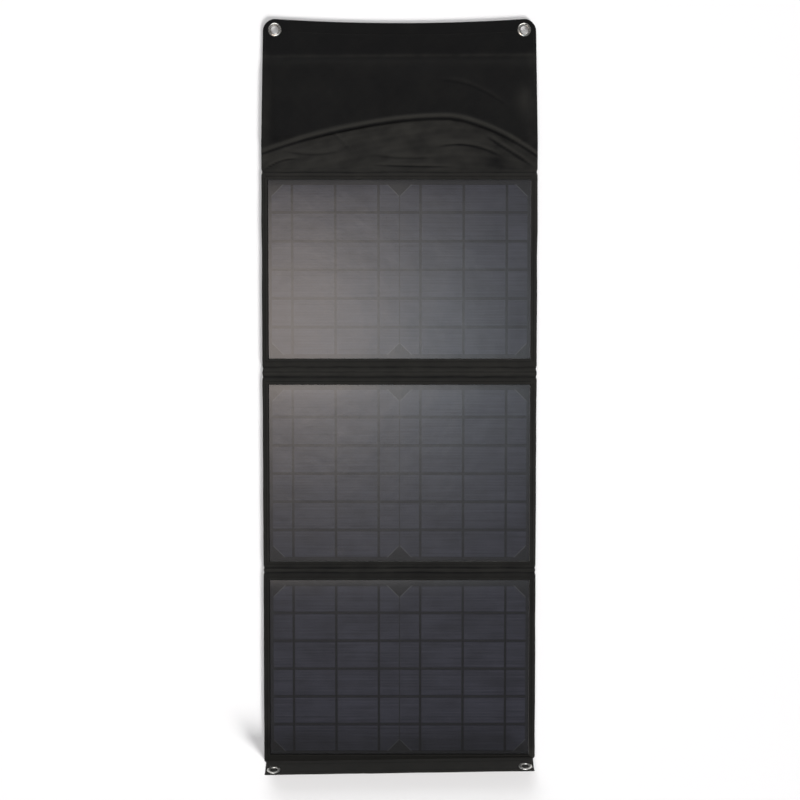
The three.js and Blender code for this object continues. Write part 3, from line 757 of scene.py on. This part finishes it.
def capsule_row(course, normal, seed, length, radius, pitch, sink=0.05):
    """Stitches along a course of points, each a short thread that dips in at both ends."""
    rng = np.random.default_rng(seed)
    course = np.asarray(course, float)
    run = np.concatenate([[0], np.cumsum(np.linalg.norm(np.diff(course, axis=0), axis=1))])
    parts = []
    place = pitch / 2
    while place < run[-1] - pitch / 2:
        share = np.linspace(-0.5, 0.5, 6)
        at = place + rng.uniform(-0.06, 0.06) + share * length
        line = np.column_stack([np.interp(at, run, course[:, k]) for k in range(3)])
        rise = np.sqrt(np.clip(1 - (2 * share) ** 4, 0, 1)) * (radius + 0.02) - sink - radius * 0.4
        line += rise[:, None] * np.asarray(normal, float)
        points, faces = tube(line, radius, 6)
        ends = np.arange(6)
        parts.append((points, faces + [tuple(ends[::-1]), tuple(len(points) - 6 + ends)]))
        place += pitch
    return parts


def front_row(x, y, seed, thread):
    """Stitches along a line on the front fabric."""
    x, y = np.broadcast_arrays(x, y)
    return capsule_row(np.column_stack([x, y, strip_height(x, y)]), (0, 0, 1), seed, **thread)


THREAD = {"length": 1.75, "radius": 0.2, "pitch": 2.4}
BORDER_THREAD = {"length": 1.3, "radius": 0.36, "pitch": 2.4, "sink": 0.33}


def window_stitches(number, material):
    """Stitches that hold the fabric's turned edge round one window."""
    low, high = WINDOWS[number]
    bottom, top, side = low - (1.5 if number == 3 else 2.6), high + 2.6, WINDOW_HALF + 2.4
    across, along = np.linspace(-side, side, 160), np.linspace(bottom, top, 160)
    parts = []
    for index, (x, y) in enumerate(((across, top), (across, bottom), (-side, along), (side, along))):
        parts += front_row(x, y, number * 10 + index, BORDER_THREAD)
    return new_object(f"panel_{number}_stitches", *merge(parts), material)


def hem_stitches(material):
    """Two rows along the hem, on both its faces: near its edge and near the curl."""
    rows = np.array([row[:3] for row in hem_path()[15:]])
    x = np.linspace(-130, 130, 240)
    parts = []
    for index, from_edge in enumerate((3.0, 19.0)):
        run = rows[-1, 0] - from_edge
        y, z = (np.interp(run, rows[:, 0], rows[:, k]) for k in (1, 2))
        for side in (1, -1):
            normal = np.array([0, math.sin(HEM_CURL), math.cos(HEM_CURL)]) * side
            off = HEM_HALF_THICK + side * hem_ripple(x, run)
            course = np.column_stack([x, y + normal[1] * off + x * math.tan(HEM_SKEW), z + normal[2] * off])
            parts += capsule_row(course, normal, 81 + index * 2 + side, **THREAD)
    return new_object("hem_stitches", *merge(parts), material)


def pocket_stitches(material):
    """Topstitching along the pocket's top and rows down its side hems."""
    x = np.linspace(-109, 121, 240)
    parts = front_row(x, POCKET_TOP - top_dip(x) - TOPSTITCH, 61, THREAD)
    y = np.linspace(POCKET_START + 1, POCKET_TOP - 12, 130)
    edge = np.array([pocket_half(v) - 2.7 for v in y])
    for index, side in enumerate((-1, 1)):
        parts += front_row(side * edge, y, 63 + index, THREAD)
    return new_object("pocket_stitches", *merge(parts), material)


# ---- Materials ----


class Graph:
    """Short hand for the nodes of one material."""

    def __init__(self, name):
        self.material = bpy.data.materials.new(name)
        self.material.use_nodes = True
        self.tree = self.material.node_tree
        self.shader = self.tree.nodes["Principled BSDF"]

    def put(self, socket, value):
        if isinstance(value, bpy.types.NodeSocket):
            self.tree.links.new(value, socket)
        else:
            socket.default_value = value

    def add(self, kind, inputs=(), out=0, **settings):
        node = self.tree.nodes.new("ShaderNode" + kind)
        for key, value in settings.items():
            setattr(node, key, value)
        for key, value in dict(inputs).items():
            self.put(node.inputs[key], value)
        return node.outputs[out]

    def calc(self, operation, *values, clamp=False):
        return self.add("Math", dict(enumerate(values)), operation=operation, use_clamp=clamp)

    def times(self, first, second):
        return self.calc("MULTIPLY", first, second)

    def plus(self, first, second):
        return self.calc("ADD", first, second)

    def minus(self, first, second):
        return self.calc("SUBTRACT", first, second)

    def object_place(self):
        return self.add("TexCoord", out=3)

    def mix(self, share, first, second):
        return self.add("Mix", {0: share, 6: first, 7: second}, out=2, data_type="RGBA")

    def noise(self, place, scale, detail=2.0, rough=0.5):
        return self.add("TexNoise", {"Vector": place, "Scale": scale, "Detail": detail, "Roughness": rough})

    def span(self, value, low, high, new_low, new_high):
        return self.add("MapRange", dict(enumerate((value, low, high, new_low, new_high))), clamp=True)

    def bump(self, height, distance, strength=1.0):
        return self.add("Bump", {"Strength": strength, "Distance": distance, "Height": height})

    def finish(self, **values):
        for key, value in values.items():
            self.put(self.shader.inputs[key.replace("_", " ")], value)
        return self.material


def rgb(red, green, blue):
    return (red, green, blue, 1.0)


def fabric_material(name, dark, light, pitch=0.45, sheen=0.06):
    """Plain-woven cloth, patchy, paled and darkened by its tone, which carries painted light and shade."""
    graph = Graph(name)
    place = graph.add("Attribute", attribute_name="cloth", out=1)
    scaled = graph.add("VectorMath", {0: place, 3: math.pi / (pitch * MM)}, operation="SCALE")
    along = graph.add("SeparateXYZ", {0: scaled})
    across = along.node.outputs[1]
    paleness = graph.times(graph.add("SeparateXYZ", {0: place}, out=2), 1 / MM)
    threads = graph.times(graph.calc("SINE", along), graph.calc("SINE", across))
    patches = graph.noise(place, 38.0, 4.0, 0.6)
    specks = graph.noise(place, 900.0, 2.0, 0.6)
    uneven = graph.plus(graph.times(patches, 0.5), graph.times(specks, 0.25))
    shade = graph.calc("ADD", paleness, graph.minus(uneven, 0.375), clamp=True)
    relief = graph.plus(graph.times(threads, 0.175), graph.times(specks, 0.8))
    return graph.finish(
        Base_Color=graph.mix(shade, dark, light), Roughness=graph.span(patches, 0.3, 0.7, 0.72, 0.88),
        Specular_IOR_Level=0.1, Sheen_Weight=sheen, Sheen_Roughness=0.45,
        Normal=graph.bump(relief, 0.00016, 0.7),
    )


def thread_material(name, color):
    """Twisted thread."""
    graph = Graph(name)
    twist_in = {"Vector": graph.object_place(), "Scale": 900.0, "Distortion": 1.0}
    twist = graph.add("TexWave", twist_in, out=1, wave_type="BANDS")
    return graph.finish(
        Base_Color=color, Roughness=0.8, Sheen_Weight=0.05, Specular_IOR_Level=0.1,
        Normal=graph.bump(twist, 0.00008, 0.5),
    )


def plated_material(name, color, rough):
    """Plated metal with fine scuffs."""
    graph = Graph(name)
    scuffs = graph.noise(graph.object_place(), 420.0, 5.0, 0.7)
    return graph.finish(
        Base_Color=color, Metallic=1.0, Roughness=graph.span(scuffs, 0.35, 0.7, rough * 0.7, rough * 1.5),
        Normal=graph.bump(scuffs, 0.00003, 0.25),
    )


def moulded_material(name, color, rough):
    """Moulded plastic with a fine spark-eroded grain."""
    graph = Graph(name)
    grain = graph.noise(graph.object_place(), 2600.0)
    return graph.finish(
        Base_Color=color, Roughness=graph.span(grain, 0.3, 0.7, rough - 0.06, rough + 0.08),
        Normal=graph.bump(grain, 0.00005, 0.4),
    )


CELL_ROWS = 6
CELL_GAP = 1.0
CELL_RIM = 0.9  # the dark edge of a strip beside a gap
CORNER_CUT = 11.4
FINGER_HALF_PITCH, FINGER_WIDTH = 0.79, 0.16
RIBBON_APART = 42.4
RIBBON_SHADE = 1.25  # half the width of the dark line that a ribbon and its flux leave


def cell_material(number):
    """Dark silicon strips with fine printed fingers, three ribbons each and bright clipped corners."""
    graph = Graph(f"cells_{number}")
    low, high = box_mm(f"panel_{number}_cells_right")
    half, height = (high[0] - low[0]) / 2, high[1] - low[1]
    row_pitch = (height + CELL_GAP) / CELL_ROWS

    def absolute(value):
        return graph.calc("ABSOLUTE", value)

    place = graph.object_place()
    split = graph.add("SeparateXYZ", {0: place})
    y = graph.minus(graph.times(split.node.outputs[1], 1 / MM), low[1])
    off_x = absolute(graph.minus(absolute(graph.times(split, 1 / MM)), low[0] + half))
    fingers = graph.span(graph.calc("PINGPONG", y, FINGER_HALF_PITCH), 0.0, FINGER_WIDTH, 1.0, 0.0)
    side_ribbon = graph.calc("LESS_THAN", absolute(graph.minus(off_x, RIBBON_APART)), RIBBON_SHADE)
    ribbons = graph.calc("MAXIMUM", side_ribbon, graph.calc("LESS_THAN", off_x, RIBBON_SHADE))
    from_end = graph.minus(height / 2, absolute(graph.minus(y, height / 2)))
    corner = graph.plus(graph.minus(half, off_x), from_end)
    clipped = graph.calc("LESS_THAN", corner, CORNER_CUT + CELL_GAP)
    in_row = graph.calc("PINGPONG", graph.plus(y, CELL_GAP / 2), row_pitch / 2)
    rim = graph.calc("LESS_THAN", in_row, CELL_GAP / 2 + CELL_RIM)
    patches = graph.noise(place, 34.0, 3.0, 0.55)
    stretched = graph.add("VectorMath", {0: place, 1: (14.0, 420.0, 1.0)}, operation="MULTIPLY")
    blend = graph.plus(graph.times(patches, 0.45), graph.times(graph.noise(stretched, 1.0, 2.0, 0.6), 0.55))
    blend = graph.span(blend, 0.38, 0.62, 0.0, 1.0)
    color = graph.mix(blend, rgb(0.0158, 0.0166, 0.028), rgb(0.0385, 0.040, 0.060))
    color = graph.mix(graph.times(fingers, 0.6), color, rgb(0.12, 0.12, 0.135))
    color = graph.mix(graph.times(rim, 0.97), color, rgb(0.004, 0.004, 0.007))
    color = graph.mix(graph.times(clipped, 0.5), color, rgb(0.14, 0.14, 0.14))
    color = graph.mix(ribbons, color, rgb(0.003, 0.003, 0.004))
    return graph.finish(Base_Color=color, Roughness=0.45, Specular_IOR_Level=0.4)


def film_material(number):
    """The panel's top film: clear, satin and finely textured, pulled down a little along its upper edge."""
    graph = Graph(f"film_{number}")
    place = graph.object_place()
    y = graph.times(graph.add("SeparateXYZ", {0: place}, out=1), 1 / MM)
    below_edge = graph.minus(WINDOWS[number][1], y)
    dip = graph.calc("EXPONENT", graph.times(below_edge, -1 / 8.0))
    height = graph.times(dip, -0.5)
    for scale, depth in ((1500.0, 0.02), (22.0, 0.3), (150.0, 0.05)):
        height = graph.plus(height, graph.times(graph.noise(place, scale), depth))
    return graph.finish(
        Base_Color=rgb(0.004, 0.004, 0.006), Alpha=0.25, IOR=1.5, Specular_IOR_Level=1.0,
        Roughness=0.28, Normal=graph.bump(height, 0.001),
    )


def board_material(name):
    """Plain board, faintly cloudy."""
    graph = Graph(name)
    cloudy = graph.span(graph.noise(graph.object_place(), 60.0, 4.0, 0.6), 0.3, 0.7, 0.0, 1.0)
    color = graph.mix(cloudy, rgb(0.009, 0.009, 0.0105), rgb(0.013, 0.013, 0.0145))
    return graph.finish(Base_Color=color, Roughness=0.6)


# ---- Building ----

cloth = fabric_material("fabric", rgb(0.0031, 0.0031, 0.0032), rgb(0.0166, 0.0161, 0.0146))
lining = fabric_material("lining", rgb(0.006, 0.006, 0.0062), rgb(0.011, 0.011, 0.0112), 0.6, 0.15)
tape_cloth = fabric_material("zip_tape", rgb(0.006, 0.006, 0.006), rgb(0.012, 0.012, 0.012), pitch=0.7)
thread = thread_material("thread", rgb(0.0072, 0.0070, 0.0066))
dark_thread = thread_material("dark_thread", rgb(0.0010, 0.0010, 0.0010))
nickel = plated_material("eyelet_nickel", rgb(0.62, 0.61, 0.58), 0.33)
# A darker copy of the eyelets' nickel for the top eyelets: painted shade.
shaded_nickel = plated_material("eyelet_nickel_shaded", rgb(0.34, 0.33, 0.31), 0.26)
zip_metal = plated_material("zip_metal", rgb(0.12, 0.12, 0.125), 0.35)
coil_plastic = moulded_material("zip_coil", rgb(0.012, 0.012, 0.013), 0.35)
shell_plastic = moulded_material("hub_shell", rgb(0.014, 0.014, 0.015), 0.5)
socket_steel = plated_material("socket_steel", rgb(0.5, 0.5, 0.5), 0.28)
circuit = moulded_material("circuit_board", rgb(0.01, 0.05, 0.02), 0.4)
lead_plastic = moulded_material("lead", rgb(0.01, 0.01, 0.01), 0.5)
stiffener = board_material("stiffener")
laminate_board = board_material("laminate_board")


def paint(material, *nodes):
    for node in nodes:
        mesh = frame["nodes"][node].data
        mesh.materials.clear()
        mesh.materials.append(material)
        mesh.polygons.foreach_set("material_index", [0] * len(mesh.polygons))


def attach(piece, body, slot, *replaced):
    """Hangs a fabric or metal piece on the body it rides on and hides the frame's nodes it stands for; its
    slot, the finish, is not used.
    """
    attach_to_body(piece, body)
    if replaced:
        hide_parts(*replaced)


paint(lead_plastic, "pocket_lead", *[f"hinge_{name}_lead" for name in FOLDS])
paint(zip_metal, "zip_slider_outer", "zip_slider_inner", "zip_pull")
paint(shell_plastic, "hub_shell_lower", "hub_shell_upper")
paint(circuit, "hub_board")
paint(socket_steel, "usb_socket_left", "usb_socket_right")

strip = build_strip(cloth)
for panel in WINDOWS:
    body = f"panel_{panel}"
    paint(lead_plastic, body + "_lead")
    paint(stiffener, body + "_stiffener")
    paint(laminate_board, body + "_laminate_board")
    paint(cell_material(panel), body + "_cells_left", body + "_cells_right")
    paint(film_material(panel), body + "_top_film")
    cover = strip[body + "_cover_fabric"]
    attach(cover, body, "fabric", body + "_back_cover", body + "_window_frame")
    attach(window_stitches(panel, dark_thread), body, "fabric")

# Each fold's two fabric pieces, one for each crease, stay where they were built, and its hinge's plies in the
# frame are hidden.
BODIES = ("pocket", "panel_1", "panel_2", "panel_3")
for name, first, last in zip(FOLDS, BODIES, BODIES[1:]):
    creases = sorted((CREASE["fold_" + name], CREASE[f"fold_{name}_outer"]), reverse=True)
    hinge = "hinge_" + name
    for part, above, below, crease in zip(("upper", "lower"), (first, hinge), (hinge, last), creases):
        piece = strip[f"fold_{name}_{part}_fabric"]
        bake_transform(piece)
    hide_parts(hinge + "_front_ply", hinge + "_back_ply")

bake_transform(strip["hem_fabric"])
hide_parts("bottom_hem")
attach(hem_stitches(thread), "hem", "fabric")

pocket = build_pocket_front(cloth)
attach(pocket, "pocket", "fabric", "pocket_front")
attach(pocket_stitches(thread), "pocket", "fabric")

# The pocket's back lies on the ground but for its edges at the zip, which are raised: (y, z) points.
ZIP_LIFT, GROUND = 2.0, 0.02
foot, zip_below = (corner[1] for corner in box_mm("pocket_back_lower"))
zip_above, top = (corner[1] for corner in box_mm("pocket_back_upper"))
lower_course = [(foot, GROUND), (zip_below - 8.3, GROUND), (zip_below - 2.8, ZIP_LIFT), (zip_below, ZIP_LIFT)]
upper_course = [(zip_above, ZIP_LIFT), (zip_above + 2.4, ZIP_LIFT), (zip_above + 6.6, GROUND), (top, GROUND)]
for node, course, seed in (("pocket_back_lower", lower_course, 71), ("pocket_back_upper", upper_course, 75)):
    attach(build_back_sheet(node, course, seed, lining), "pocket", "fabric", node)
for node in ("zip_tape_lower", "zip_tape_upper"):
    attach(build_tape(node, tape_cloth), "pocket", "zip_tape", node)
attach(build_coil(coil_plastic), "pocket", "zip_coil", "zip_coil")

for place in ("top_left", "top_right", "bottom_left", "bottom_right"):
    on_hem = place.startswith("bottom")
    # The top eyelets take the darker copy of the nickel, which is painted shade.
    body, metal = ("hem", nickel) if on_hem else ("pocket", shaded_nickel)
    tilt, skew = (-HEM_CURL, HEM_SKEW) if on_hem else (0.0, 0.0)
    for node, profile in (("eyelet_", EYELET_PROFILE), ("eyelet_washer_", WASHER_PROFILE)):
        points, faces = lathe(profile, sum(box_mm(node + place)) / 2, tilt, skew)
        ring = new_object(node + place + "_metal", points, faces, metal)
        attach(ring, body, "eyelet_nickel", node + place)

# ---- Studio ----


def aim(obj, place, target, up=(0, 1, 0)):
    """Points an object's -Z at a target, with its Y towards up."""
    back = (Vector(place) - Vector(target)).normalized()
    right = Vector(up).cross(back).normalized()
    top = back.cross(right)
    obj.location = place
    obj.rotation_mode = "QUATERNION"
    obj.rotation_quaternion = Matrix((right, top, back)).transposed().to_quaternion()


def light(name, kind, place, target, energy, color, **settings):
    """A light aimed at a target."""
    data = bpy.data.lights.new(name, kind)
    data.energy, data.color = energy, color
    for key, value in settings.items():
        setattr(data, key, value)
    obj = bpy.data.objects.new(name, data)
    bpy.context.scene.collection.objects.link(obj)
    aim(obj, place, target)
    return obj


CAMERA_AWAY = 1.5
CAMERA_TILT = math.radians(3.3)
LOOK_AT = (0.0005, -0.003, 0.0)
scene = bpy.context.scene
camera_data = bpy.data.cameras.new("camera")
camera_data.sensor_width, camera_data.lens, camera_data.clip_end = 36, 68.2, 20
camera = bpy.data.objects.new("camera", camera_data)
scene.collection.objects.link(camera)
camera_off = Vector((0, math.sin(CAMERA_TILT), math.cos(CAMERA_TILT))) * CAMERA_AWAY
aim(camera, Vector(LOOK_AT) + camera_off, LOOK_AT)
scene.camera = camera

# Two soft windows overhead show in the film; two wide suns give the even daylight.
for name, place, size_x, size_y, watts, color in (
    ("window_light", (-0.27, 0.05, 2.1), 0.3, 0.34, 7.5, (1.0, 0.86, 0.77)),
    ("window_side", (0.05, 0.0, 2.1), 0.3, 0.3, 2.7, (0.7, 0.87, 1.0)),
):
    light(name, "AREA", place, (-0.02, 0.03, 0), watts, color, shape="RECTANGLE", size=size_x, size_y=size_y)
for name, place, strength, spread, color, glare in (
    ("key_light", (1.4, -1.9, 1.25), 5.0, 20, (1.0, 0.99, 0.98), False),
    ("back_light", (-0.4, 2.3, 1.5), 2.0, 40, (0.98, 0.99, 1.0), True),
):
    sun = light(name, "SUN", place, (0, 0, 0), strength, color, angle=math.radians(spread))
    sun.visible_glossy = glare

world = bpy.data.worlds.new("studio")
world.use_nodes = True
background = world.node_tree.nodes["Background"].inputs
background[0].default_value, background[1].default_value = rgb(0.97, 0.98, 1.0), 0.26
scene.world = world

floor_graph = Graph("floor")
floor_grain = floor_graph.noise(floor_graph.object_place(), 120.0, 3.0)
floor_material = floor_graph.finish(
    Base_Color=rgb(0.665, 0.665, 0.67), Roughness=0.85, Specular_IOR_Level=0.1,
    Normal=floor_graph.bump(floor_grain, 0.0001, 0.2),
)
FLOOR_HALF, FLOOR_Z = 20000, -0.3
floor_corners = [(x * FLOOR_HALF, y * FLOOR_HALF) for x, y in ((-1, -1), (1, -1), (1, 1), (-1, 1))]
floor = new_object("floor", [(x, y, FLOOR_Z) for x, y in floor_corners], [(0, 1, 2, 3)], floor_material)

# A pale wall far away, which is only seen: it gives no light and throws no shadow.
wall_graph = Graph("wall")
wall_glow = wall_graph.add("Emission", {0: rgb(1.0, 1.0, 1.0), 1: 1.0})
wall_graph.put(wall_graph.tree.nodes["Material Output"].inputs[0], wall_glow)
WALL_FOOT = -1000
wall_points = [(x, y, z) for z in (WALL_FOOT, FLOOR_HALF) for x, y in floor_corners]
wall_faces = [(i, (i + 1) % 4, (i + 1) % 4 + 4, i + 4) for i in range(4)]
wall = new_object("wall", wall_points, wall_faces, wall_graph.material, smooth=False)
wall.visible_diffuse = wall.visible_glossy = wall.visible_transmission = wall.visible_shadow = False
scene.view_settings.view_transform = "Standard"
scene.view_settings.look = "None"
